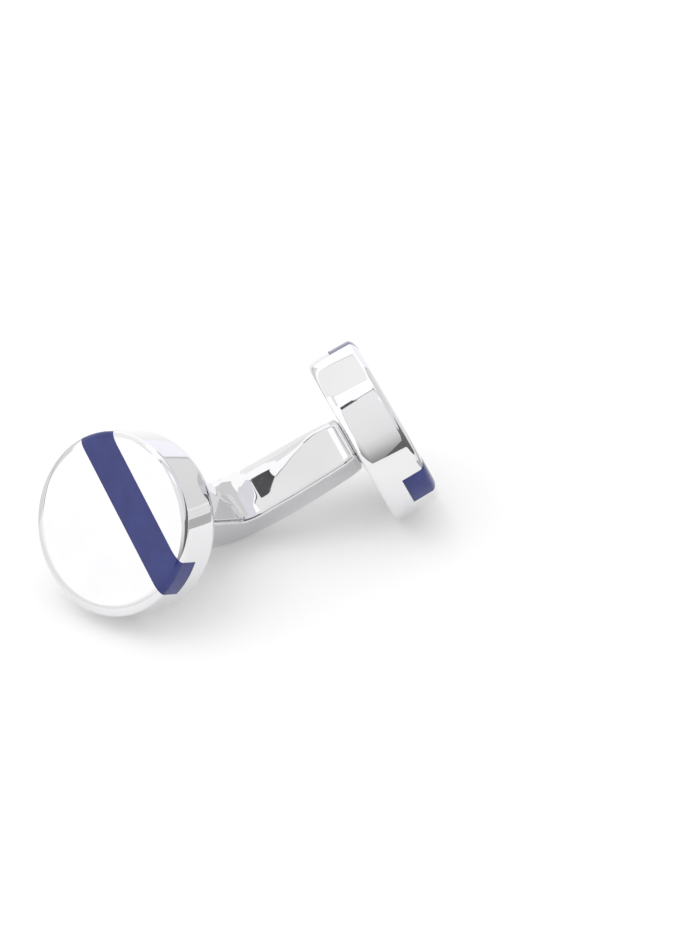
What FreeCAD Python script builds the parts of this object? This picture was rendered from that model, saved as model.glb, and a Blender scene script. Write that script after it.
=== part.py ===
"""Double-ended cufflink: two inlaid discs on the ends of a bent bar, lying on a table as it comes to rest.

Lengths are millimetres and angles are degrees. The bend lies in the XZ plane of the link's own frame, with the
corner of the two arms at its origin and the hollow side of the bend towards +Z. The finished link is then
leaned over until both rims and the elbow of the bar touch the table, with +Z up and the table at Z = 0.
"""
import FreeCAD
import Part

import math
import os

# Discs
DISC_DIAMETER = 16.0
DISC_THICKNESS = 4.7
EDGE_ROUND_ON_FACE = 0.9
EDGE_ROUND_ON_SIDE = 0.45

# Inlay stripe, let into a channel square to the bend and off centre towards its hollow side
STRIPE_WIDTH = 3.2
STRIPE_OFFSET = 2.88
CHANNEL_DEPTH = 2.5
CEMENT_THICKNESS = 0.1

# Bent bar: each arm runs from the inner face of a disc to the corner where both centre lines meet
ARM_LENGTH = 12.7
ARM_ANGLE = 30.0
BAR_WIDTH_AT_ELBOW = 4.8
BAR_NARROWING = 0.35
BAR_DEPTH = 5.0
BAR_EDGE_ROUND = 0.5
HOLLOW_EDGE_ROUND = 1.0
ELBOW_INNER_RADIUS = 3.6
ELBOW_OUTER_RADIUS = 13.9

# Tenons on the bar, stepped in from its sides by the shoulder, and the solder that holds them in the discs
TENON_SHOULDER = 0.75
TENON_DEPTH = 2.0
TENON_LENGTH = 1.4
SOLDER_FILM = 0.1

# How far a cutting or joining block runs past the faces that it meets
OVERRUN = 1.0

# Steps and halvings of the search for the lean at which the link rests
LEAN_STEPS = 90
LEAN_HALVINGS = 40

DISC_RADIUS = DISC_DIAMETER / 2
HALF_THICKNESS = DISC_THICKNESS / 2
BAR_WIDTH_AT_ENDS = BAR_WIDTH_AT_ELBOW - 2 * BAR_NARROWING
TENON_WIDTH = BAR_WIDTH_AT_ENDS - 2 * TENON_SHOULDER
ARM_COS = math.cos(math.radians(ARM_ANGLE))
ARM_SIN = math.sin(math.radians(ARM_ANGLE))

X_AXIS = FreeCAD.Vector(1, 0, 0)
Y_AXIS = FreeCAD.Vector(0, 1, 0)
Z_AXIS = FreeCAD.Vector(0, 0, 1)


def block(x_from, x_to, y_size, z_from, z_to):
    """Box between two X and two Z values, centred on Y = 0."""
    corner = FreeCAD.Vector(x_from, -y_size / 2, z_from)
    return Part.makeBox(x_to - x_from, y_size, z_to - z_from, corner)


def moved(shape, placement):
    """Copy of a shape with its geometry carried to a placement."""
    return shape.transformed(placement.toMatrix(), copy=True)


# Disc end, in its own frame: inner face on Z = 0, outwards along +Z, hollow side of the bend towards +X

def edge_arc(z_centre, z_side):
    """Quarter ellipse that rounds the rim, from the flat face (z_side 1 outer, -1 inner) to the side."""
    centre = FreeCAD.Vector(DISC_RADIUS - EDGE_ROUND_ON_FACE, 0, z_centre)
    across = centre + X_AXIS * EDGE_ROUND_ON_FACE
    along = centre + Z_AXIS * (EDGE_ROUND_ON_SIDE * z_side)
    ellipse = Part.Ellipse(across, along, centre)
    return Part.ArcOfEllipse(ellipse, 0, math.pi / 2).toShape()


def disc_blank():
    """Whole disc before any cut, turned about Z."""
    flat_radius = DISC_RADIUS - EDGE_ROUND_ON_FACE
    side_low = EDGE_ROUND_ON_SIDE
    side_high = DISC_THICKNESS - EDGE_ROUND_ON_SIDE
    centre_low = FreeCAD.Vector(0, 0, 0)
    face_low = FreeCAD.Vector(flat_radius, 0, 0)
    rim_low = FreeCAD.Vector(DISC_RADIUS, 0, side_low)
    rim_high = FreeCAD.Vector(DISC_RADIUS, 0, side_high)
    face_high = FreeCAD.Vector(flat_radius, 0, DISC_THICKNESS)
    centre_high = FreeCAD.Vector(0, 0, DISC_THICKNESS)
    edges = [
        Part.makeLine(centre_low, face_low),
        edge_arc(side_low, -1),
        Part.makeLine(rim_low, rim_high),
        edge_arc(side_high, 1),
        Part.makeLine(face_high, centre_high),
        Part.makeLine(centre_high, centre_low),
    ]
    profile = Part.Face(Part.Wire(Part.__sortEdges__(edges)))
    return profile.revolve(FreeCAD.Vector(0, 0, 0), Z_AXIS, 360)


def stripe_block(z_from, z_to):
    """Block across the disc over the width of the stripe, past the rim at both ends."""
    x_from = STRIPE_OFFSET - STRIPE_WIDTH / 2
    x_to = STRIPE_OFFSET + STRIPE_WIDTH / 2
    return block(x_from, x_to, DISC_DIAMETER + OVERRUN, z_from, z_to)


def tenon_block(clearance, z_from):
    """Block of the tenon, grown on its sides and its tip by a clearance."""
    half_depth = TENON_DEPTH / 2 + clearance
    return block(-half_depth, half_depth, TENON_WIDTH + 2 * clearance, z_from, TENON_LENGTH + clearance)


def disc():
    """Disc with the inlay channel in its outer face and the tenon socket in its inner face."""
    channel = stripe_block(DISC_THICKNESS - CHANNEL_DEPTH, DISC_THICKNESS + OVERRUN)
    socket = tenon_block(SOLDER_FILM, -OVERRUN)
    return disc_blank().cut(channel).cut(socket)


def inlay_cement():
    """Thin bed on the floor of the channel."""
    floor = DISC_THICKNESS - CHANNEL_DEPTH
    return disc_blank().common(stripe_block(floor, floor + CEMENT_THICKNESS))


def inlay():
    """Stripe that fills the channel above the cement, flush with the face and the rim."""
    seat = DISC_THICKNESS - CHANNEL_DEPTH + CEMENT_THICKNESS
    return disc_blank().common(stripe_block(seat, DISC_THICKNESS + OVERRUN))


def solder_joint():
    """Solder film under the flat end of the bar and all round its tenon."""
    half_depth = BAR_DEPTH / 2 - BAR_EDGE_ROUND
    film = block(-half_depth, half_depth, BAR_WIDTH_AT_ENDS - 2 * BAR_EDGE_ROUND, -SOLDER_FILM, 0)
    sleeve = tenon_block(SOLDER_FILM, -SOLDER_FILM)
    return film.fuse(sleeve).cut(tenon_block(0, -OVERRUN)).removeSplitter()


def front_end():
    """Placement of the disc on the -X side: its axis runs out along the front arm."""
    centre = FreeCAD.Vector(-ARM_LENGTH * ARM_COS, 0, ARM_LENGTH * ARM_SIN)
    return FreeCAD.Placement(centre, FreeCAD.Rotation(Y_AXIS, ARM_ANGLE - 90))


def rear_end():
    """Placement of the disc on the +X side: the front end turned half round about Z."""
    half_turn = FreeCAD.Placement(FreeCAD.Vector(), FreeCAD.Rotation(Z_AXIS, 180))
    return half_turn.multiply(front_end())


# Bent bar, in the link's frame

def arm_point(side, along, off):
    """Point on an arm (side -1 front, 1 rear): along its centre line, then off towards the hollow side."""
    x = side * (along * ARM_COS - off * ARM_SIN)
    return FreeCAD.Vector(x, 0, along * ARM_SIN + off * ARM_COS)


def bend_edges(off, radius):
    """Front line, arc and rear line of one face of the bar, off from the centre line."""
    apex = off / ARM_COS
    tangent = radius * math.tan(math.radians(ARM_ANGLE)) + off * ARM_SIN / ARM_COS
    end = ARM_LENGTH - SOLDER_FILM
    middle = FreeCAD.Vector(0, 0, apex + radius / ARM_COS - radius)
    front_tangent = arm_point(-1, tangent, off)
    rear_tangent = arm_point(1, tangent, off)
    return [
        Part.makeLine(arm_point(-1, end, off), front_tangent),
        Part.Arc(front_tangent, middle, rear_tangent).toShape(),
        Part.makeLine(rear_tangent, arm_point(1, end, off)),
    ]


def side_cutter(side):
    """Wide cylinder whose surface is one side of the bar (-1 or 1), narrowed from the elbow to the ends."""
    reach = (ARM_LENGTH - SOLDER_FILM) * ARM_COS
    radius = (reach * reach + BAR_NARROWING * BAR_NARROWING) / (2 * BAR_NARROWING)
    foot = FreeCAD.Vector(0, side * (BAR_WIDTH_AT_ELBOW / 2 - radius), -ARM_LENGTH)
    return Part.makeCylinder(radius, 3 * ARM_LENGTH, foot, Z_AXIS)


def is_at_end(edge):
    """True for the edges round the flat end of an arm."""
    centre = edge.CenterOfMass
    along = abs(centre.x) * ARM_COS + centre.z * ARM_SIN
    return along > ARM_LENGTH - SOLDER_FILM - BAR_EDGE_ROUND


def is_along(edge, face):
    """True for the long edges between a side of the bar and its hollow face (face 1) or its back (face -1)."""
    centre = edge.CenterOfMass
    off = centre.z * ARM_COS - abs(centre.x) * ARM_SIN
    return not is_at_end(edge) and abs(centre.y) > BAR_WIDTH_AT_ENDS / 4 and off * face > 0


def link_bar():
    """Bar with a rounded elbow, softer edges on its hollow side and a tenon on each end."""
    half_depth = BAR_DEPTH / 2
    end = ARM_LENGTH - SOLDER_FILM
    edges = bend_edges(-half_depth, ELBOW_OUTER_RADIUS) + bend_edges(half_depth, ELBOW_INNER_RADIUS)
    for side in (-1, 1):
        edges.append(Part.makeLine(arm_point(side, end, -half_depth), arm_point(side, end, half_depth)))
    profile = Part.Face(Part.Wire(Part.__sortEdges__(edges)))
    profile.translate(Y_AXIS * -BAR_WIDTH_AT_ELBOW)
    bar = profile.extrude(Y_AXIS * (2 * BAR_WIDTH_AT_ELBOW))
    for side in (-1, 1):
        bar = bar.common(side_cutter(side))
    bar = bar.Solids[0]
    bar = bar.makeFillet(HOLLOW_EDGE_ROUND, [edge for edge in bar.Edges if is_along(edge, 1)])
    others = [edge for edge in bar.Edges if is_at_end(edge) or is_along(edge, -1)]
    bar = bar.makeFillet(BAR_EDGE_ROUND, others)
    tenon = tenon_block(0, -OVERRUN)
    for placement in (front_end(), rear_end()):
        bar = bar.fuse(moved(tenon, placement))
    return bar.removeSplitter()


# How the link comes to rest

def rim_reach(lean):
    """How far a disc reaches below the corner of the arms when the bend leans at this angle from the table."""
    out = ARM_SIN * math.sin(lean)
    flat = math.sqrt(1 - out * out)
    centre = -(ARM_LENGTH + HALF_THICKNESS) * out
    body = (DISC_RADIUS - EDGE_ROUND_ON_FACE) * flat + (HALF_THICKNESS - EDGE_ROUND_ON_SIDE) * out
    return centre + body + math.hypot(EDGE_ROUND_ON_FACE * flat, EDGE_ROUND_ON_SIDE * out)


def elbow_reach(lean):
    """How far the lower outer edge of the elbow reaches below the corner of the arms."""
    arc_centre = (ELBOW_OUTER_RADIUS - BAR_DEPTH / 2) / ARM_COS
    down = (ELBOW_OUTER_RADIUS - BAR_EDGE_ROUND - arc_centre) * math.sin(lean)
    return down + (BAR_WIDTH_AT_ELBOW / 2 - BAR_EDGE_ROUND) * math.cos(lean) + BAR_EDGE_ROUND


def rest_lean():
    """Angle of the bend from the table at which both rims and the elbow touch it: upright if they never do."""
    upright = math.pi / 2
    step = upright / LEAN_STEPS
    high = step
    while high < upright and elbow_reach(high) < rim_reach(high):
        high += step
    if high >= upright:
        return upright
    low = high - step
    for _ in range(LEAN_HALVINGS):
        middle = (low + high) / 2
        if elbow_reach(middle) < rim_reach(middle):
            low = middle
        else:
            high = middle
    return high


def at_rest(pieces):
    """Lean the finished link over, set it on Z = 0 and centre its footprint on the origin."""
    lean = rest_lean()
    turn = FreeCAD.Placement(FreeCAD.Vector(), FreeCAD.Rotation(X_AXIS, 90 - math.degrees(lean)))
    leaned = {name: moved(shape, turn) for name, shape in pieces.items()}
    box = Part.makeCompound(list(leaned.values())).optimalBoundingBox(False, False)
    down = max(rim_reach(lean), elbow_reach(lean))
    shift = FreeCAD.Placement(FreeCAD.Vector(-box.Center.x, -box.Center.y, down), FreeCAD.Rotation())
    print(f"lean {math.degrees(lean):.3f} degrees, corner of the arms at Y {-box.Center.y:.4f}, Z {down:.4f}")
    return {name: moved(shape, shift) for name, shape in leaned.items()}


def build():
    """All pieces of the link by name, at rest on the table."""
    makers = {"disc": disc, "inlay": inlay, "inlay_cement": inlay_cement, "solder_joint": solder_joint}
    pieces = {"link_bar": link_bar()}
    for end_name, placement in (("front", front_end()), ("rear", rear_end())):
        for piece_name, maker in makers.items():
            pieces[f"{end_name}_{piece_name}"] = moved(maker(), placement)
    return at_rest(pieces)


def main():
    """Write one STEP file for each piece."""
    os.makedirs("parts", exist_ok=True)
    for name, shape in build().items():
        solids = shape.Solids
        print(f"{name}: solids {len(solids)}, valid {shape.isValid()}, volume {shape.Volume:.3f}")
        solids[0].exportStep(f"parts/{name}.step")


if __name__ == "__main__":
    main()
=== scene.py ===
"""Looks of a double-ended cufflink: two inlaid, mirror-polished discs soldered to the ends of a bent bar.

Lengths are metres and angles are radians, unless a docstring says otherwise. Every piece is placed in the
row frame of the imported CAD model, which is loaded first and stays fixed. The link's own frame has the corner
of the two arms at its origin, the bend in the XZ plane and the hollow side of the bend towards +Z; RestPose
carries it to the row frame.
"""

import logging
import math
from dataclasses import dataclass
from enum import Enum

import bpy
import numpy as np
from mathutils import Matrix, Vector
from numpy.typing import NDArray

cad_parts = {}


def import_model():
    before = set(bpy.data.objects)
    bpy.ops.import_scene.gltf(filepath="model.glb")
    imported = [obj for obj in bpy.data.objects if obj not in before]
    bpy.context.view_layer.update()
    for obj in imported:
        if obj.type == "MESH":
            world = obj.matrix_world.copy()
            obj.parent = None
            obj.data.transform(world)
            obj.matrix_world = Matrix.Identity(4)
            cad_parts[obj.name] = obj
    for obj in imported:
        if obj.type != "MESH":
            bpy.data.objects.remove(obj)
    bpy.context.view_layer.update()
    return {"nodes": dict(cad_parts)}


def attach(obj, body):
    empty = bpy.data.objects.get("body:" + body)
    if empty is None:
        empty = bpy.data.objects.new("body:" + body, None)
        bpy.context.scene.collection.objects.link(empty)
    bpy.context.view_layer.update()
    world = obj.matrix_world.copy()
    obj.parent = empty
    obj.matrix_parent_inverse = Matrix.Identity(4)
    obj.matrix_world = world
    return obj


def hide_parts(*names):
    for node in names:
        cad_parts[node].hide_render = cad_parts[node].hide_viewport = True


Array = NDArray[np.float64]
Numbers = NDArray[np.int64]
Colour = tuple[float, float, float]
Socket = bpy.types.NodeSocket

LOG = logging.getLogger("cufflink")
BODY = "root"
SHARP_ANGLE = math.radians(40)


class End(Enum):
    """The two ends of the link, by the side of the row's X axis that each is on."""

    FRONT = -1
    REAR = 1


SOLDERED_TURN: dict[End, float] = {End.FRONT: math.radians(-2.2), End.REAR: 0.0}


@dataclass(frozen=True)
class RestPose:
    """How the link lies on the table: leaned about X until both rims and the elbow touch it."""

    lean: float = math.radians(57.692)
    corner_y: float = 4.0219e-3
    corner_z: float = 1.7153e-3

    def to_row(self, points: Array) -> Array:
        """Turn points of the link's frame about X by the lean, then lift them on to the table.

        Args:
            points: Array whose last axis is x, y, z in the link's frame.

        Returns:
            Array of the same shape in the row frame.
        """
        x, y, z = points[..., 0], points[..., 1], points[..., 2]
        turn_cos, turn_sin = math.cos(self.lean), math.sin(self.lean)
        row_y = y * turn_sin - z * turn_cos + self.corner_y
        row_z = y * turn_cos + z * turn_sin + self.corner_z
        return np.stack((x, row_y, row_z), axis=-1)


def ease(share: Array) -> Array:
    """Smooth step from 0 to 1, level at both ends and held outside them."""
    share = np.clip(share, 0, 1)
    return share * share * (3 - 2 * share)


class Shell:
    """A mesh that is put together from rows of quads and flat many-sided faces."""

    def __init__(self, points: Array) -> None:
        """Start a shell that has points and no faces.

        Args:
            points: Array whose last axis is x, y, z, one point for each vertex.
        """
        self.points = points.reshape(-1, 3)
        self.corners: list[Numbers] = []
        self.totals: list[Numbers] = []

    def add_quads(self, rows: Numbers) -> None:
        """Join neighbours in a grid of vertex numbers by quads, over all rows and columns.

        Args:
            rows: Two-dimensional array of vertex numbers. Rows go up the surface, columns to the right.
        """
        quads = np.stack((rows[:-1, :-1], rows[:-1, 1:], rows[1:, 1:], rows[1:, :-1]), axis=-1)
        self.corners.append(quads.ravel())
        self.totals.append(np.full(quads[..., 0].size, quads.shape[-1]))

    def add_flat(self, *runs: Numbers) -> None:
        """Close a flat opening by one face through runs of vertex numbers, anticlockwise from outside."""
        self.corners.extend(runs)
        self.totals.append(np.array([sum(len(run) for run in runs)]))

    def make(self, name: str) -> bpy.types.Object:
        """Write the shell into a new smooth object at the origin, with its hard edges kept sharp.

        Args:
            name: Name of the object and of its mesh.

        Returns:
            The new object, linked to the scene.
        """
        mesh = bpy.data.meshes.new(name)
        totals, corners = np.concatenate(self.totals), np.concatenate(self.corners)
        mesh.vertices.add(len(self.points))
        mesh.vertices.foreach_set("co", self.points.astype(np.float32).ravel())
        mesh.loops.add(len(corners))
        mesh.loops.foreach_set("vertex_index", corners.astype(np.int32))
        mesh.polygons.add(len(totals))
        mesh.polygons.foreach_set("loop_start", (np.cumsum(totals) - totals).astype(np.int32))
        mesh.polygons.foreach_set("loop_total", totals.astype(np.int32))
        mesh.update(calc_edges=True)
        mesh.validate()
        mesh.shade_smooth()
        mesh.set_sharp_from_angle(angle=SHARP_ANGLE)
        piece = bpy.data.objects.new(name, mesh)
        bpy.context.scene.collection.objects.link(piece)
        return piece


@dataclass(frozen=True)
class Grain:
    """Cloudy noise of a finish: features per metre, octaves of finer noise and a factor on each axis.

    A small factor draws the pattern out along its axis.
    """

    scale: float
    detail: float
    stretch: tuple[float, float, float] = (1.0, 1.0, 1.0)


class Finish:
    """A new node material and the few node groups that the finishes of the link share."""

    def __init__(self, name: str) -> None:
        """Make the material with a plain Principled shader wired to its output.

        Args:
            name: Name of the material.
        """
        self.material = bpy.data.materials.new(name)
        self.material.use_nodes = True
        self.nodes = self.material.node_tree.nodes
        self.links = self.material.node_tree.links
        self.shader = self.nodes["Principled BSDF"]
        self.coordinates = self.nodes.new("ShaderNodeTexCoord").outputs["Object"]

    def noise(self, grain: Grain) -> Socket:
        """Cloudy noise on Object coordinates.

        Args:
            grain: Scale, detail and stretch of the noise.

        Returns:
            The factor output of the noise.
        """
        mapping = self.nodes.new("ShaderNodeMapping")
        mapping.inputs["Scale"].default_value = grain.stretch
        self.links.new(self.coordinates, mapping.inputs["Vector"])
        noise = self.nodes.new("ShaderNodeTexNoise")
        noise.inputs["Scale"].default_value = grain.scale
        noise.inputs["Detail"].default_value = grain.detail
        self.links.new(mapping.outputs["Vector"], noise.inputs["Vector"])
        return noise.outputs["Fac"]

    def ramp(self, factor: Socket, places: tuple[float, ...], colours: tuple[Colour, ...]) -> Socket:
        """Colour ramp that goes evenly from each colour to the next.

        Args:
            factor: Output that drives the ramp.
            places: Factor at which each colour is reached, in rising order.
            colours: Colour at each of the places.

        Returns:
            The colour output of the ramp.
        """
        ramp = self.nodes.new("ShaderNodeValToRGB")
        elements = ramp.color_ramp.elements
        for place in places[len(elements):]:
            elements.new(place)
        for element, place, colour in zip(elements, places, colours):
            element.position = place
            element.color = (*colour, 1)
        self.links.new(factor, ramp.inputs["Fac"])
        return ramp.outputs["Color"]

    def span(self, factor: Socket, limits: tuple[float, float], values: tuple[float, float]) -> Socket:
        """Map a factor evenly from two limits on to two values, clamped at both.

        Args:
            factor: Output to map.
            limits: Lower and upper limit of the factor.
            values: Result at each of the limits.

        Returns:
            The mapped output.
        """
        span = self.nodes.new("ShaderNodeMapRange")
        span.inputs["From Min"].default_value, span.inputs["From Max"].default_value = limits
        span.inputs["To Min"].default_value, span.inputs["To Max"].default_value = values
        self.links.new(factor, span.inputs["Value"])
        return span.outputs["Result"]

    def add(self, first: Socket, second: Socket) -> Socket:
        """Add two outputs.

        Args:
            first: One output.
            second: The other output.

        Returns:
            Their sum.
        """
        total = self.nodes.new("ShaderNodeMath")
        total.operation = "ADD"
        self.links.new(first, total.inputs[0])
        self.links.new(second, total.inputs[1])
        return total.outputs["Value"]

    def bump(self, height: Socket, distance: float) -> Socket:
        """Bump the normal by a height output.

        Args:
            height: Output from 0 to 1.
            distance: Height of 1, in metres.

        Returns:
            The bumped normal.
        """
        bump = self.nodes.new("ShaderNodeBump")
        bump.inputs["Strength"].default_value = 1.0
        bump.inputs["Distance"].default_value = distance
        self.links.new(height, bump.inputs["Height"])
        return bump.outputs["Normal"]

    def wire(self, output: Socket, socket: str) -> None:
        """Wire an output to a socket of the shader."""
        self.links.new(output, self.shader.inputs[socket])


@dataclass(frozen=True)
class MirrorPlate:
    """Bright plating, mirror polished: faint buffing lines, a fine haze and slow waves from the wheel."""

    name: str
    bright: Colour
    dull: Colour
    roughness: tuple[float, float]
    wave_height: float
    buffing: Grain
    haze: Grain = Grain(2600.0, 3.0)
    clouds: Grain = Grain(240.0, 2.0)
    waves: Grain = Grain(170.0, 1.0)
    cloud_places: tuple[float, float] = (0.30, 0.62)
    buffing_limits: tuple[float, float] = (0.55, 0.75)
    haze_limits: tuple[float, float] = (0.3, 0.8)

    def material(self) -> bpy.types.Material:
        """Build the material: noise along the buffing lines roughens it, and slow noise bends its normal.

        Returns:
            The new material.
        """
        finish = Finish(self.name)
        haze = finish.noise(self.haze)
        lines = finish.noise(self.buffing)
        clouds = finish.noise(self.clouds)
        finish.wire(finish.ramp(clouds, self.cloud_places, (self.dull, self.bright)), "Base Color")
        low, high = self.roughness
        scuffs = finish.span(lines, self.buffing_limits, (0.0, high - low))
        film = finish.span(haze, self.haze_limits, (low, (low + high) / 2))
        finish.wire(finish.add(film, scuffs), "Roughness")
        finish.wire(finish.bump(finish.noise(self.waves), self.wave_height), "Normal")
        finish.shader.inputs["Metallic"].default_value = 1.0
        return finish.material


@dataclass(frozen=True)
class StoneInlay:
    """Deep blue stone, ground flush and polished: faint cloudy mottle and a clear gloss."""

    name: str
    deep: Colour
    mid: Colour
    pale: Colour
    roughness: tuple[float, float]
    mottle: Grain = Grain(620.0, 5.0)
    polish: Grain = Grain(3800.0, 3.0)
    ripple: Grain = Grain(900.0, 2.0)
    mottle_places: tuple[float, float, float] = (0.28, 0.5, 0.78)
    polish_limits: tuple[float, float] = (0.3, 0.75)
    ripple_height: float = 1.2e-6
    refraction: float = 1.52

    def material(self) -> bpy.types.Material:
        """Build the material: one noise mottles the blue, one varies the polish and one ripples the face.

        Returns:
            The new material.
        """
        finish = Finish(self.name)
        blues = (self.deep, self.mid, self.pale)
        finish.wire(finish.ramp(finish.noise(self.mottle), self.mottle_places, blues), "Base Color")
        finish.wire(finish.span(finish.noise(self.polish), self.polish_limits, self.roughness), "Roughness")
        finish.wire(finish.bump(finish.noise(self.ripple), self.ripple_height), "Normal")
        finish.shader.inputs["IOR"].default_value = self.refraction
        return finish.material


@dataclass(frozen=True)
class HiddenFilm:
    """A film that shows only as a hairline: cured cement under the stone, or silver solder under the bar."""

    name: str
    dark: Colour
    light: Colour
    roughness: tuple[float, float]
    metallic: float
    grain: Grain = Grain(2200.0, 4.0)
    grain_places: tuple[float, float] = (0.3, 0.7)
    grain_limits: tuple[float, float] = (0.25, 0.75)
    grain_height: float = 6.0e-6

    def material(self) -> bpy.types.Material:
        """Build the material: noise varies its colour, its roughness and its fine bump together.

        Returns:
            The new material.
        """
        finish = Finish(self.name)
        grain = finish.noise(self.grain)
        finish.wire(finish.ramp(grain, self.grain_places, (self.dark, self.light)), "Base Color")
        finish.wire(finish.span(grain, self.grain_limits, self.roughness), "Roughness")
        finish.wire(finish.bump(grain, self.grain_height), "Normal")
        finish.shader.inputs["Metallic"].default_value = self.metallic
        return finish.material


DISC_PLATE = MirrorPlate(
    "disc_plating", bright=(0.81, 0.81, 0.82), dull=(0.785, 0.785, 0.795), roughness=(0.02, 0.06),
    wave_height=3.0e-6, buffing=Grain(5200.0, 2.0, (0.08, 1.0, 1.0)))
BAR_PLATE = MirrorPlate(
    "bar_plating", bright=(0.79, 0.79, 0.80), dull=(0.765, 0.765, 0.775), roughness=(0.02, 0.06),
    wave_height=5.0e-6, buffing=Grain(5200.0, 2.0, (0.06, 1.0, 1.0)))
BLUE_STONE = StoneInlay(
    "blue_stone", deep=(0.010, 0.017, 0.125), mid=(0.014, 0.023, 0.155), pale=(0.021, 0.032, 0.185),
    roughness=(0.03, 0.08))
STRIPE_CEMENT = HiddenFilm(
    "stripe_cement", dark=(0.020, 0.022, 0.060), light=(0.045, 0.048, 0.095), roughness=(0.25, 0.45),
    metallic=0.0)
SILVER_SOLDER = HiddenFilm(
    "silver_solder", dark=(0.55, 0.55, 0.54), light=(0.74, 0.74, 0.72), roughness=(0.28, 0.50),
    metallic=1.0)


@dataclass(frozen=True)
class Edge:
    """Rounding of an edge: a quarter ellipse, this wide on the face and this deep on the side."""

    on_face: float
    on_side: float


@dataclass
class DiscEnd:
    """One end of the link: a thick disc with a stone stripe let into its outer face, flush with face and rim.

    The disc's own frame has its inner face at height 0 and its axis outwards. The stripe is square to the
    bend, and lies off centre towards the hollow side, which is +u; v runs along the stripe. The turn is the
    small angle by which the disc was soldered on out of square.
    """

    end: End
    pose: RestPose
    turn: float = 0.0
    radius: float = 8.0e-3
    thickness: float = 4.7e-3
    outer_edge: Edge = Edge(1.15e-3, 0.65e-3)
    inner_edge: Edge = Edge(0.25e-3, 0.75e-3)
    side_crown: float = 0.04e-3
    arm_length: float = 12.7e-3
    arm_angle: float = math.radians(30)
    stripe_from: float = 1.28e-3
    stripe_to: float = 4.48e-3
    channel_floor: float = 2.2e-3
    stripe_seat: float = 2.3e-3
    seam: float = 0.012e-3
    flat_margin: float = 0.06e-3
    rounding_steps: int = 26
    side_steps: int = 30
    small_steps: int = 121
    stripe_steps: int = 57
    large_steps: int = 241

    def profile(self) -> Array:
        """Half outline of the disc from its inner face round the rim to its outer face.

        The radius is the disc's own, less a crown that grows with the square of the distance from the middle
        of the side, less a quarter ellipse at each edge. A short flat margin at both ends keeps the faces
        flat to their edges, and the heights of the channel's floor and the stripe's seat are among the
        points.

        Returns:
            Array of points with columns radius and height.
        """
        turn = np.linspace(0, math.pi / 2, self.rounding_steps)
        low, high = self.inner_edge, self.outer_edge
        side = np.linspace(low.on_side, self.thickness - high.on_side, self.side_steps)[1:-1]
        side = np.union1d(side, (self.channel_floor, self.stripe_seat))
        heights = np.concatenate((low.on_side * (1 - np.cos(turn)), side,
                                  self.thickness - high.on_side * (1 - np.cos(turn[::-1]))))
        loss = np.concatenate((low.on_face * (1 - np.sin(turn)), np.zeros(len(side)),
                               high.on_face * (1 - np.sin(turn[::-1]))))
        radii = self.radius - loss - self.side_crown * (2 * heights / self.thickness - 1) ** 2
        radii = np.concatenate((radii[:1] - self.flat_margin, radii, radii[-1:] - self.flat_margin))
        heights = np.concatenate((heights[:1], heights, heights[-1:]))
        return np.stack((radii, heights), axis=-1)

    def zone_angles(self, radii: Array, low: float, high: float) -> tuple[Array, Array, Array, Array]:
        """Angles round each ring of the outline, split where the ring crosses the edges of the stripe.

        A ring of radius r crosses the line u = e at the angle whose cosine is e / r, so each zone runs evenly
        from one crossing to the next.

        Args:
            radii: Radius of each ring.
            low: Value of u at the stripe's edge near the centre.
            high: Value of u at the stripe's other edge.

        Returns:
            Angles of the small segment, the stripe on the +v side, the large segment and the stripe on the -v
            side, one row for each ring. Neighbouring zones share their end angles.
        """
        near, far = np.arccos(low / radii)[:, None], np.arccos(high / radii)[:, None]
        small = far * np.linspace(-1, 1, self.small_steps)
        stripe = far + (near - far) * np.linspace(0, 1, self.stripe_steps)
        large = near + (2 * math.pi - 2 * near) * np.linspace(0, 1, self.large_steps)
        return small, stripe, large, 2 * math.pi - stripe[:, ::-1]

    def place(self, ring_radii: Array, angles: Array, heights: Array) -> Array:
        """Turn radii, angles and heights of the disc into points of the row frame.

        Args:
            ring_radii: Radius of each ring.
            angles: Angle of each point, one row for each ring.
            heights: Height of each ring above the inner face.

        Returns:
            Array of points, one row of columns for each ring.
        """
        side = self.end.value
        out = np.array((side * math.cos(self.arm_angle), 0, math.sin(self.arm_angle)))
        hollow = np.array((-side * math.sin(self.arm_angle), 0, math.cos(self.arm_angle)))
        along = np.array((0, -side, 0))
        radii, angles = ring_radii[:, None, None], angles[..., None] + self.turn
        points = radii * (np.cos(angles) * hollow + np.sin(angles) * along)
        return self.pose.to_row(points + (self.arm_length + heights[:, None, None]) * out)

    def disc_shell(self) -> Shell:
        """Metal of the disc: the outline turned about the axis, with the channel cut across its outer face.

        Returns:
            The closed shell.
        """
        outline = self.profile()
        radii, heights = outline[:, 0], outline[:, 1]
        zones = self.zone_angles(radii, self.stripe_from, self.stripe_to)
        angles = np.concatenate([zone[:, :-1] for zone in zones], axis=1)
        shell = Shell(self.place(radii, angles, heights))
        number = np.arange(angles.size).reshape(angles.shape)
        number = np.concatenate((number, number[:, :1]), axis=1)
        stops = np.cumsum([0] + [zone.shape[1] - 1 for zone in zones])
        floor = int(np.argmin(np.abs(heights - self.channel_floor)))
        small, plus, large, minus = (slice(a, b + 1) for a, b in zip(stops[:-1], stops[1:]))
        shell.add_quads(number[: floor + 1])
        shell.add_quads(number[floor:, small])
        shell.add_quads(number[floor:, large])
        shell.add_flat(number[0, :-1][::-1])
        shell.add_flat(number[-1, small])
        shell.add_flat(number[-1, large])
        shell.add_flat(number[floor, plus], number[floor, minus])
        shell.add_flat(number[floor:, stops[2]], number[floor:, stops[3]][::-1])
        shell.add_flat(number[floor:, stops[0]], number[floor:, stops[1]][::-1])
        return shell

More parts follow.
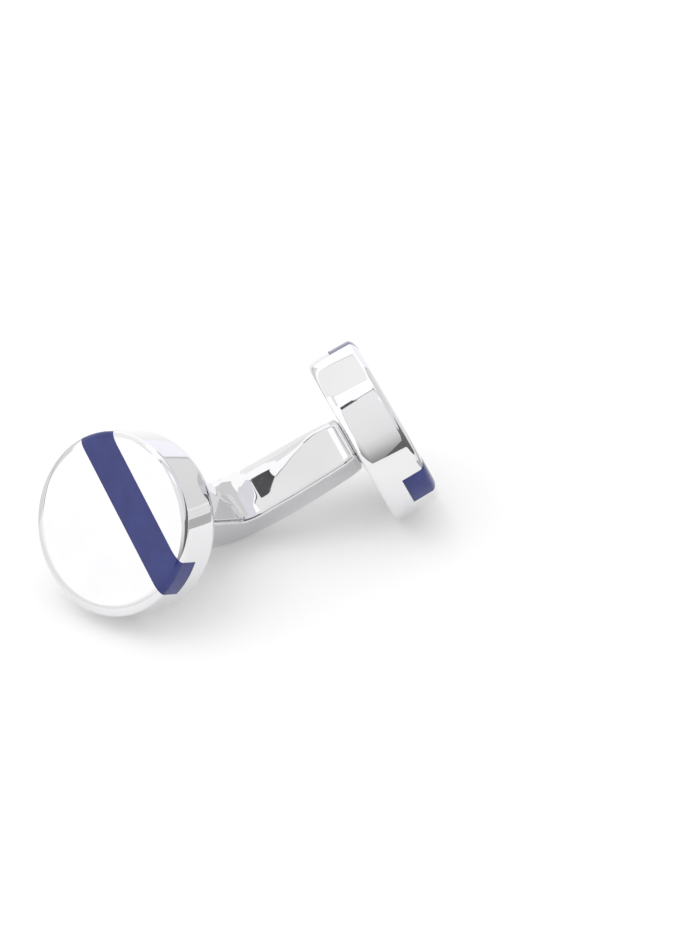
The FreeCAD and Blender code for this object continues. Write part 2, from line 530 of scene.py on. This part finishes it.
    def slab_shell(self, bottom: float, top: float) -> Shell:
        """A slab that lies in the channel: the part of the disc's outline between its edges and two heights.

        Args:
            bottom: Height of the slab's lower face above the disc's inner face.
            top: Height of its upper face.

        Returns:
            The closed shell, a hair narrower than the channel on each side.
        """
        outline = self.profile()
        first = int(np.argmin(np.abs(outline[:, 1] - bottom)))
        last = len(outline) - int(np.argmin(np.abs(outline[::-1, 1] - top)))
        radii, heights = outline[first:last, 0], outline[first:last, 1]
        zones = self.zone_angles(radii, self.stripe_from + self.seam, self.stripe_to - self.seam)
        plus, minus = zones[1], zones[3]
        angles = np.concatenate((plus, minus), axis=1)
        shell = Shell(self.place(radii, angles, heights))
        number = np.arange(angles.size).reshape(angles.shape)
        half = plus.shape[1]
        shell.add_quads(number[:, :half])
        shell.add_quads(number[:, half:])
        shell.add_flat(number[-1])
        shell.add_flat(number[0][::-1])
        shell.add_flat(number[:, half - 1][::-1], number[:, half])
        shell.add_flat(number[:, 0], number[:, -1][::-1])
        return shell

    def build(self, plate: bpy.types.Material, stone: bpy.types.Material, cement: bpy.types.Material) -> None:
        """Make the disc, its stripe and the bed under it, dress them and set them on the link.

        Args:
            plate: Finish of the metal.
            stone: Finish of the stripe.
            cement: Finish of the bed.
        """
        name = self.end.name.lower()
        stripe = self.slab_shell(self.stripe_seat, self.thickness)
        bed = self.slab_shell(self.channel_floor, self.stripe_seat)
        set_on_link(self.disc_shell().make(f"{name}_polished_disc"), plate, f"{name}_disc")
        set_on_link(stripe.make(f"{name}_stone_stripe"), stone, f"{name}_inlay")
        set_on_link(bed.make(f"{name}_cement_bed"), cement, f"{name}_inlay_cement")


@dataclass(frozen=True)
class Bevel:
    """Edge of a face of the bar, wide by the elbow and narrow by the discs.

    On each arm it has its full width up to one distance from the elbow's arc, and its last width from
    another one on.
    """

    wide: Edge
    narrow: Edge
    front: tuple[float, float] = (0.0, 1.5e-3)
    rear: tuple[float, float] = (2.6e-3, 7.0e-3)

    def widths(self, beyond: Array) -> tuple[Array, Array]:
        """Width on the face and depth on the side at each station, easing from wide to narrow.

        Args:
            beyond: Distance of each station from the elbow's arc, negative on the front arm.

        Returns:
            Widths and depths, each as one column.
        """
        start, stop = (np.where(beyond < 0, *pair) for pair in zip(self.front, self.rear))
        share = ease((np.abs(beyond) - start) / (stop - start))[:, None]
        return (self.wide.on_face + (self.narrow.on_face - self.wide.on_face) * share,
                self.wide.on_side + (self.narrow.on_side - self.wide.on_side) * share)


@dataclass(frozen=True)
class Roll:
    """Lean that the polishing has left on the hollow face.

    The front arm falls evenly towards its +y edge. Beside the elbow the rear arm does so too: there the fall
    sets in between two places across the face, reaches further along the arm near the +y edge, and fades.
    """

    front_slope: float = math.tan(math.radians(7))
    slope: float = math.tan(math.radians(5.4))
    start: float = -1.6e-3
    full: float = -0.9e-3
    level: float = -0.2e-3
    top: float = 1.2e-3
    low_reach: float = 0.0
    high_reach: float = 2.0e-3
    fade: float = 2.6e-3
    bend_start: float = 0.3
    bend_full: float = 0.9

    def lift(self, across: Array, crown: Array, beyond: Array, bend: Array) -> Array:
        """How far the lean lifts each point of the face.

        On the front arm the height goes down evenly across the face. On the rear arm it is the fall's slope
        summed from a level line to the point; the slope is the given one less what the plain face falls
        there already.

        Args:
            across: Place of each point across the face, one row for each station.
            crown: Fall of the plain face towards +y at each point.
            beyond: Distance of each station from the elbow's arc, negative on the front arm.
            bend: Share of the arc's half angle at each station, -1 on the front arm to 1 on the rear arm.

        Returns:
            Array of heights like across.
        """
        bend, beyond = bend[:, None], beyond[:, None]
        onset = ease((across - self.start) / (self.full - self.start))
        share = np.clip((across - self.start) / (self.top - self.start), 0, 1)
        reach = self.low_reach + (self.high_reach - self.low_reach) * share
        span = self.bend_full - self.bend_start
        along = ease((bend - self.bend_start) / span) * (1 - ease((beyond - reach) / self.fade))
        slope = np.clip(self.slope - crown, 0, None) * onset * along
        strips = (slope[:, 1:] + slope[:, :-1]) / 2 * np.diff(across, axis=1)
        fall = np.concatenate((np.zeros_like(strips[:, :1]), np.cumsum(strips, axis=1)), axis=1)
        fall -= np.sum(strips * (across[:, 1:] < self.level), axis=1, keepdims=True)
        return -fall - self.front_slope * across * ease((-bend - self.bend_start) / span)


@dataclass
class BentBar:
    """The bar between the discs: two arms that narrow towards the discs, a tight hollow and a wide back."""

    pose: RestPose
    width_at_elbow: float = 4.8e-3
    width_at_ends: float = 4.1e-3
    depth: float = 5.0e-3
    hollow_upper: Bevel = Bevel(Edge(2.2e-3, 0.6e-3), Edge(0.7e-3, 0.35e-3))
    hollow_lower: Bevel = Bevel(Edge(0.5e-3, 0.30e-3), Edge(0.5e-3, 0.30e-3))
    back_edge: Bevel = Bevel(Edge(0.5e-3, 0.5e-3), Edge(0.5e-3, 0.5e-3))
    roll: Roll = Roll()
    end_edge: Edge = Edge(0.45e-3, 0.39e-3)
    taper_slope: float = math.tan(math.radians(4.8))
    taper_length: float = 0.9e-3
    taper_onset: float = 0.15e-3
    arm_end: float = 12.6e-3
    arm_angle: float = math.radians(30)
    hollow_radius: float = 3.6e-3
    back_radius: float = 13.9e-3
    flat_margin: float = 0.04e-3
    elbow_steps: int = 97
    arm_steps: int = 80
    end_steps: int = 20
    corner_steps: int = 24
    face_steps: int = 17

    def rail(self, off: float, radius: float) -> tuple[Array, Array, Array, Array, Array]:
        """One face of the bar as a line in the bend's plane: a straight arm, the elbow's arc, a straight arm.

        The arc of the given radius touches both arms' lines, which lie off the centre lines. Near each end a
        taper, whose slope grows evenly to its full value, and then a quarter ellipse draw the bar in by the
        returned inset.

        Args:
            off: Distance of the face from the centre line, positive on the hollow side.
            radius: Radius of the arc.

        Returns:
            Points (x, z), outward unit normals (x, z), inset, distance beyond the arc and share of the arc's
            half angle at each station; the last two are negative on the front side.
        """
        slope = math.tan(self.arm_angle)
        centre_z = (off + radius) / math.cos(self.arm_angle)
        arm_from = (off + radius) * slope
        arm_to = self.arm_end - self.end_edge.on_face
        turn = np.linspace(0, math.pi / 2, self.end_steps)[1:]
        run = np.linspace(arm_from, arm_to, self.arm_steps)[1:]
        past = np.concatenate((run, arm_to + self.end_edge.on_face * np.sin(turn)))
        tapered = np.clip(past - arm_to + self.taper_length, 0, None)
        onset = np.clip(tapered, 0, self.taper_onset)
        inset = self.taper_slope * (tapered - onset + onset**2 / (2 * self.taper_onset))
        inset[len(run):] += self.end_edge.on_side * (1 - np.cos(turn))
        bend = np.linspace(-self.arm_angle, self.arm_angle, self.elbow_steps)
        arm = np.full(len(past), self.arm_angle)
        angle = np.concatenate((-arm, bend, arm))
        beyond = np.concatenate((arm_from - past[::-1], np.zeros(len(bend)), past - arm_from))
        inset = np.concatenate((inset[::-1], np.zeros(len(bend)), inset))
        towards = np.stack((-np.sin(angle), np.cos(angle)), axis=-1)
        forward = np.stack((np.cos(angle), np.sin(angle)), axis=-1)
        points = (0, centre_z) - radius * towards + beyond[:, None] * forward
        return points, towards * math.copysign(1, off), inset, beyond, angle / self.arm_angle

    def half_width(self, x: Array) -> Array:
        """Half the bar's width: it falls with the square of the distance x from the elbow."""
        reach = self.arm_end * math.cos(self.arm_angle)
        return (self.width_at_elbow - (self.width_at_elbow - self.width_at_ends) * (x / reach) ** 2) / 2

    def face_strip(self, off: float, radius: float, lower: Bevel, upper: Bevel,
                   roll: Roll | None = None) -> Array:
        """A face of the bar and the rounded edges beside it, carried along its rail.

        The section is straight across the middle of the face with a quarter ellipse at each side; a short
        flat margin beyond each ellipse holds the bar's side face flat. A roll, if there is one, lifts it.

        Args:
            off: Distance of the face from the centre line, positive on the hollow side.
            radius: Radius of the elbow's arc on this face.
            lower: Edge at the -y side of the face.
            upper: Edge at the +y side of the face.
            roll: Lean of the face beside the elbow, if it has one.

        Returns:
            Array of points in the link's frame, one row for each station, from -y to +y.
        """
        points, normals, inset, beyond, bend = self.rail(off, radius)
        quarter = np.concatenate((np.linspace(0, math.pi / 2, self.corner_steps), [math.pi / 2]))
        flat = np.linspace(0, 1, self.face_steps + 2)
        turn = np.concatenate((-quarter[::-1], np.zeros(len(flat) - 2), quarter))
        place = np.concatenate((np.zeros(len(quarter)), flat[1:-1], np.ones(len(quarter))))
        half = self.half_width(points[:, 0])[:, None]
        (low_face, low_side), (high_face, high_side) = lower.widths(beyond), upper.widths(beyond)
        on_face, on_side = np.where(turn < 0, low_face, high_face), np.where(turn < 0, low_side, high_side)
        across = (low_face - half) * (1 - place) + (half - high_face) * place + on_face * np.sin(turn)
        sunk = on_side * (1 - np.cos(turn))
        sunk[:, [0, -1]] += self.flat_margin
        lift = -sunk - inset[:, None]
        if roll is not None:
            lift = lift + roll.lift(across, on_side / on_face * np.tan(turn), beyond, bend)
        across = across * (1 - inset[:, None] / half)
        in_plane = points[:, None, :] + lift[..., None] * normals[:, None, :]
        return np.stack((in_plane[..., 0], across, in_plane[..., 1]), axis=-1)

    def shell(self) -> Shell:
        """The whole bar: its hollow face, its back and the flat sides between them, closed at both ends.

        Returns:
            The closed shell.
        """
        off = self.depth / 2
        hollow = self.face_strip(off, self.hollow_radius, self.hollow_lower, self.hollow_upper, self.roll)
        back = self.face_strip(-off, self.back_radius, self.back_edge, self.back_edge)
        section = np.concatenate((hollow, back[:, ::-1]), axis=1)
        shell = Shell(self.pose.to_row(section))
        number = np.arange(section.shape[0] * section.shape[1]).reshape(section.shape[:2])
        ring = np.concatenate((number, number[:, :1]), axis=1)
        shell.add_quads(ring[:, ::-1])
        shell.add_flat(number[0][::-1])
        shell.add_flat(number[-1])
        return shell

    def build(self, plate: bpy.types.Material) -> None:
        """Make the bar, dress it and set it on the link."""
        set_on_link(self.shell().make("polished_bar"), plate, "link_bar")


def set_on_link(piece: bpy.types.Object, finish: bpy.types.Material, node: str) -> None:
    """Give a new piece its finish and let it stand for a CAD node on the link's body.

    Args:
        piece: New object at the origin.
        finish: Material of the whole piece.
        node: CAD node that the piece stands for.
    """
    piece.data.materials.append(finish)
    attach(piece, BODY)
    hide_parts(node)
    LOG.info("%s: %d faces in place of %s", piece.name, len(piece.data.polygons), node)


def dress_node(node: bpy.types.Object, finish: bpy.types.Material) -> None:
    """Put a finish on every material slot of a CAD node that stays in view.

    Args:
        node: Object of the CAD node.
        finish: Material of the whole node.
    """
    for place in node.material_slots:
        place.material = finish
    LOG.info("%s: finish %s", node.name, finish.name)


@dataclass(frozen=True)
class TentPanel:
    """A cloth of the light tent: a patch of a sphere round the link, seen only in the polished metal.

    Azimuth is measured from the camera's side, to the right in the picture, and elevation from the table;
    both are in degrees. The brightness goes through the given values evenly from the lower edge to the upper
    one, and a panel with slanting sides has other azimuths at its upper edge.
    """

    name: str
    azimuth: tuple[float, float]
    elevation: tuple[float, float]
    brightness: tuple[float, ...]
    tint: Colour = (1.0, 1.0, 1.0)
    upper: tuple[float, float] | None = None
    radius: float = 0.9
    steps: int = 33

    def build(self, heading: float, cloth: bpy.types.Material) -> None:
        """Make the patch: each point lies one radius from the origin, by its azimuth and its elevation.

        Args:
            heading: Direction in which the camera looks, clockwise from the row's Y axis.
            cloth: Material that glows by the colour attribute of the patch.
        """
        lower = np.linspace(*self.azimuth, self.steps)
        upper = np.linspace(*(self.upper or self.azimuth), self.steps)
        bearing = heading + math.pi - np.radians(np.linspace(lower, upper, self.steps))
        elevation = np.radians(np.linspace(*self.elevation, self.steps))[:, None]
        level_x, level_y = np.cos(elevation) * np.sin(bearing), np.cos(elevation) * np.cos(bearing)
        grid = np.stack(np.broadcast_arrays(level_x, level_y, np.sin(elevation)), axis=-1)
        shell = Shell(self.radius * grid)
        shell.add_quads(np.arange(self.steps**2).reshape(self.steps, self.steps))
        stops = np.linspace(0, 1, len(self.brightness))
        glow = np.interp(np.linspace(0, 1, self.steps), stops, self.brightness)
        colour = np.repeat(glow, self.steps)[:, None] * np.array(self.tint)
        show_in_metal(shell, f"card_{self.name}", colour, cloth)


def show_in_metal(shell: Shell, name: str, colour: Array, cloth: bpy.types.Material) -> None:
    """Make a card of the studio that shows only in reflections and casts no light and no shadow.

    Args:
        shell: Surface of the card.
        name: Name of the card.
        colour: Glow of each vertex, one row of red, green and blue.
        cloth: Material that glows by the colour attribute.
    """
    card = shell.make(name)
    shade = card.data.attributes.new("shade", "FLOAT_COLOR", "POINT")
    rows = np.concatenate((colour.reshape(-1, 3), np.ones((len(shell.points), 1))), axis=1)
    shade.data.foreach_set("color", rows.astype(np.float32).ravel())
    card.data.materials.append(cloth)
    card.visible_camera = card.visible_diffuse = card.visible_shadow = False


@dataclass(frozen=True)
class TableCard:
    """A glowing card that lies on the table outside the picture, seen only in the polished metal: a painted
    reflection of the table, set darker than the white table for most cards.

    Its near and far edges are given by their distance beyond the link from the camera, and each edge by the
    places of its left and right end across the picture.
    """

    name: str
    near: float
    near_ends: tuple[float, float]
    far: float
    far_ends: tuple[float, float]
    brightness: float
    height: float = 5.0e-5

    def build(self, heading: float, cloth: bpy.types.Material) -> None:
        """Make the card: its four corners turned from the camera's right and depth to the row's axes.

        Args:
            heading: Direction in which the camera looks, clockwise from the row's Y axis.
            cloth: Material that glows by the colour attribute of the card.
        """
        across = np.array((*self.near_ends, *self.far_ends))
        depth = np.array((self.near, self.near, self.far, self.far))
        x = across * math.cos(heading) + depth * math.sin(heading)
        y = depth * math.cos(heading) - across * math.sin(heading)
        shell = Shell(np.stack((x, y, np.full(4, self.height)), axis=-1))
        shell.add_quads(np.arange(4).reshape(2, 2))
        show_in_metal(shell, f"card_{self.name}", np.full((4, 3), self.brightness), cloth)


LAVENDER: Colour = (0.985, 0.965, 1.03)

# Painted reflection of the table: most cards glow darker than the white table, so the metal shows a greyer
# table than the camera sees.
# Name, near edge and its two ends, far edge and its two ends, brightness.
CARDS = (
    TableCard("table_left_front", -0.045, (-0.050, -0.0205), 0.003, (-0.050, -0.0231), 0.95),
    TableCard("table_far_left_front", -0.045, (-0.250, -0.050), 0.003, (-0.250, -0.050), 1.08),
    TableCard("table_left", 0.003, (-0.250, -0.0231), 0.098, (-0.250, -0.0283), 0.84),
    TableCard("table_back_left", 0.105, (-0.300, -0.040), 0.850, (-1.200, -0.330), 0.84),
    TableCard("table_right", -0.022, (0.0388, 0.086), 0.060, (0.0428, 0.086), 0.53),
    TableCard("table_far_right", -0.022, (0.091, 0.330), 0.150, (0.091, 0.330), 0.91),
)

# Name, azimuths of the sides, elevations of the edges, brightness from the lower edge up, tint.
TENT = (
    TentPanel("wall", (-180, 180), (-4, 89), (1.24, 1.24), radius=1.0),
    TentPanel("camera_side", (-18, 17), (-2, 52), (0.26, 0.47, 0.73, 0.89, 0.94, 0.96, 0.99)),
    TentPanel("camera_left", (-18.5, -18), (29, 52), (0.97, 0.99), upper=(-41.7, -18), radius=0.89),
    TentPanel("roof_front", (-41.7, 17), (52, 60.5), (0.99, 1.00), upper=(-50.4, 17)),
    TentPanel("roof_front_left", (-52, -23), (60.5, 69), (1.00, 1.01)),
    TentPanel("roof_slot", (-23, 17), (60.5, 73), (1.27, 1.27)),
    TentPanel("roof", (-60, 98), (73, 88), (0.88, 0.90), LAVENDER),
    TentPanel("seam_slant", (-19.5, -18), (29, 60.5), (0.33, 0.28), upper=(-51.9, -50.4), radius=0.88),
    TentPanel("seam_left", (-60, -52), (60.5, 64.5), (0.075, 0.12), LAVENDER, radius=0.88),
    TentPanel("seam_left_top", (-56, -53), (64.5, 69), (0.55, 0.28), radius=0.88),
    TentPanel("seam_top", (-58, -23), (69, 70.5), (0.14, 0.10), radius=0.88),
    TentPanel("softbox_left", (-98, -58), (2, 50), (1.25, 1.25)),
    TentPanel("left_low", (-155, -99), (2, 14), (0.83, 0.88)),
    TentPanel("left_high", (-98, -70), (50, 60), (0.95, 0.97)),
    TentPanel("softbox_front", (-58, -18), (2, 34), (1.25, 1.25)),
    TentPanel("softbox_foot", (-155, -86), (-2, 2), (0.45, 0.45)),
    TentPanel("seam_back_left", (-98.5, -97.5), (30, 68), (0.79, 0.79), radius=0.88),
    TentPanel("back_left", (-151, -98), (22, 68), (1.05, 1.08)),
    TentPanel("seam_far_left", (-152.5, -151), (22, 68), (0.88, 0.88)),
    TentPanel("right_front", (17, 107), (-2, 31), (0.14, 0.16, 0.22)),
    TentPanel("roof_right", (17, 98), (31, 73), (0.88, 0.90), LAVENDER),
    TentPanel("high_right", (98, 156), (33, 67), (0.76, 0.78)),
    TentPanel("right_back", (109, 150.5), (-2, 33), (0.84, 0.91)),
    TentPanel("seam_right", (150.5, 152.5), (-2, 33), (0.65, 0.70)),
    TentPanel("back_right", (152.5, 180), (-2, 33), (1.12, 1.14), LAVENDER),
)


@dataclass
class Studio:
    """White table in a light tent, a soft lamp at the upper left, and the camera at the photograph's angle.

    The lens and the sensor's width are millimetres, as Blender's camera takes them.
    """

    camera_place: tuple[float, float, float] = (-0.2446, -0.3731, 0.3033)
    camera_elevation: float = math.radians(33.384)
    camera_heading: float = math.radians(34.324)
    lens: float = 238.8
    sensor_width: float = 36.0
    sight: float = 20.0
    table_half: float = 2.0
    table_glow: float = 0.09
    table_white: float = 0.90
    tent_level: float = 0.98
    lamp_azimuth: float = math.radians(-70)
    lamp_elevation: float = math.radians(60)
    lamp_distance: float = 0.6
    lamp_size: float = 0.45
    lamp_power: float = 0.6

    def make_camera(self) -> None:
        """Set up the camera: level, with the long side of the frame upright."""
        data = bpy.data.cameras.new("photo_camera")
        data.lens = self.lens
        data.sensor_width = self.sensor_width
        data.clip_end = self.sight
        camera = bpy.data.objects.new("photo_camera", data)
        camera.location = self.camera_place
        camera.rotation_euler = (math.pi / 2 - self.camera_elevation, 0, -self.camera_heading)
        bpy.context.scene.collection.objects.link(camera)
        bpy.context.scene.camera = camera

    def make_table(self) -> None:
        """Lay the white table: it takes the shadow as a matt surface and glows a little, to end up white."""
        half = self.table_half
        corners = np.array(((-half, -half, 0), (half, -half, 0), (half, half, 0), (-half, half, 0)))
        shell = Shell(corners)
        shell.add_flat(np.arange(4))
        table = shell.make("table")
        material = bpy.data.materials.new("white_table")
        material.use_nodes = True
        nodes, links = material.node_tree.nodes, material.node_tree.links
        nodes.clear()
        matt = nodes.new("ShaderNodeBsdfDiffuse")
        matt.inputs["Color"].default_value = (self.table_white,) * 3 + (1,)
        glow = nodes.new("ShaderNodeEmission")
        glow.inputs["Strength"].default_value = self.table_glow
        total = nodes.new("ShaderNodeAddShader")
        output = nodes.new("ShaderNodeOutputMaterial")
        links.new(matt.outputs[0], total.inputs[0])
        links.new(glow.outputs[0], total.inputs[1])
        links.new(total.outputs[0], output.inputs["Surface"])
        table.data.materials.append(material)

    def make_cloth(self) -> bpy.types.Material:
        """Material of the tent's panels: it glows by their colour attribute.

        Returns:
            The new material.
        """
        material = bpy.data.materials.new("tent_cloth")
        material.use_nodes = True
        nodes, links = material.node_tree.nodes, material.node_tree.links
        nodes.clear()
        shade = nodes.new("ShaderNodeAttribute")
        shade.attribute_name = "shade"
        glow = nodes.new("ShaderNodeEmission")
        output = nodes.new("ShaderNodeOutputMaterial")
        links.new(shade.outputs["Color"], glow.inputs["Color"])
        links.new(glow.outputs[0], output.inputs["Surface"])
        return material

    def make_sky(self) -> None:
        """Make the world: white to the camera, in metal and through glass, and a little softer as a light."""
        world = bpy.data.worlds.new("tent")
        bpy.context.scene.world = world
        world.use_nodes = True
        nodes, links = world.node_tree.nodes, world.node_tree.links
        soft = nodes["Background"]
        soft.inputs["Strength"].default_value = self.tent_level
        soft.inputs["Color"].default_value = (1, 1, 1, 1)
        white = nodes.new("ShaderNodeBackground")
        white.inputs["Color"].default_value = (1, 1, 1, 1)
        path = nodes.new("ShaderNodeLightPath")
        seen = nodes.new("ShaderNodeMath")
        seen.operation = "MAXIMUM"
        links.new(path.outputs["Is Camera Ray"], seen.inputs[0])
        links.new(path.outputs["Is Glossy Ray"], seen.inputs[1])
        either = nodes.new("ShaderNodeMath")
        either.operation = "MAXIMUM"
        links.new(seen.outputs["Value"], either.inputs[0])
        links.new(path.outputs["Is Transmission Ray"], either.inputs[1])
        choice = nodes.new("ShaderNodeMixShader")
        links.new(either.outputs["Value"], choice.inputs["Fac"])
        links.new(soft.outputs[0], choice.inputs[1])
        links.new(white.outputs[0], choice.inputs[2])
        links.new(choice.outputs[0], nodes["World Output"].inputs["Surface"])

    def make_lamp(self) -> None:
        """Hang the soft lamp: it lights the matt table and does not show in the metal."""
        data = bpy.data.lights.new("soft_lamp", "AREA")
        data.size = self.lamp_size
        data.energy = self.lamp_power
        lamp = bpy.data.objects.new("soft_lamp", data)
        bearing = self.camera_heading + math.pi - self.lamp_azimuth
        flat = self.lamp_distance * math.cos(self.lamp_elevation)
        lamp.location = (flat * math.sin(bearing), flat * math.cos(bearing),
                         self.lamp_distance * math.sin(self.lamp_elevation))
        lamp.rotation_euler = (math.pi / 2 - self.lamp_elevation, 0, math.pi - bearing)
        lamp.visible_glossy = False
        bpy.context.scene.collection.objects.link(lamp)

    def build(self) -> None:
        """Make the camera, the table, the tent and the lamp, and set the plain view transform."""
        self.make_camera()
        self.make_table()
        self.make_sky()
        self.make_lamp()
        cloth = self.make_cloth()
        for card in (*CARDS, *TENT):
            card.build(self.camera_heading, cloth)
        bpy.context.scene.view_settings.view_transform = "Standard"


def main() -> None:
    """Load the CAD frame, build the pieces of the link over it, and set up the studio."""
    logging.basicConfig(level=logging.INFO, format="%(name)s: %(message)s")
    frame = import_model()
    pose = RestPose()
    disc_plate = DISC_PLATE.material()
    bar_plate = BAR_PLATE.material()
    stone = BLUE_STONE.material()
    cement = STRIPE_CEMENT.material()
    solder = SILVER_SOLDER.material()
    for end in End:
        DiscEnd(end, pose, SOLDERED_TURN[end]).build(disc_plate, stone, cement)
        dress_node(frame["nodes"][f"{end.name.lower()}_solder_joint"], solder)
    BentBar(pose).build(bar_plate)
    Studio().build()


if __name__ == "__main__":
    main()
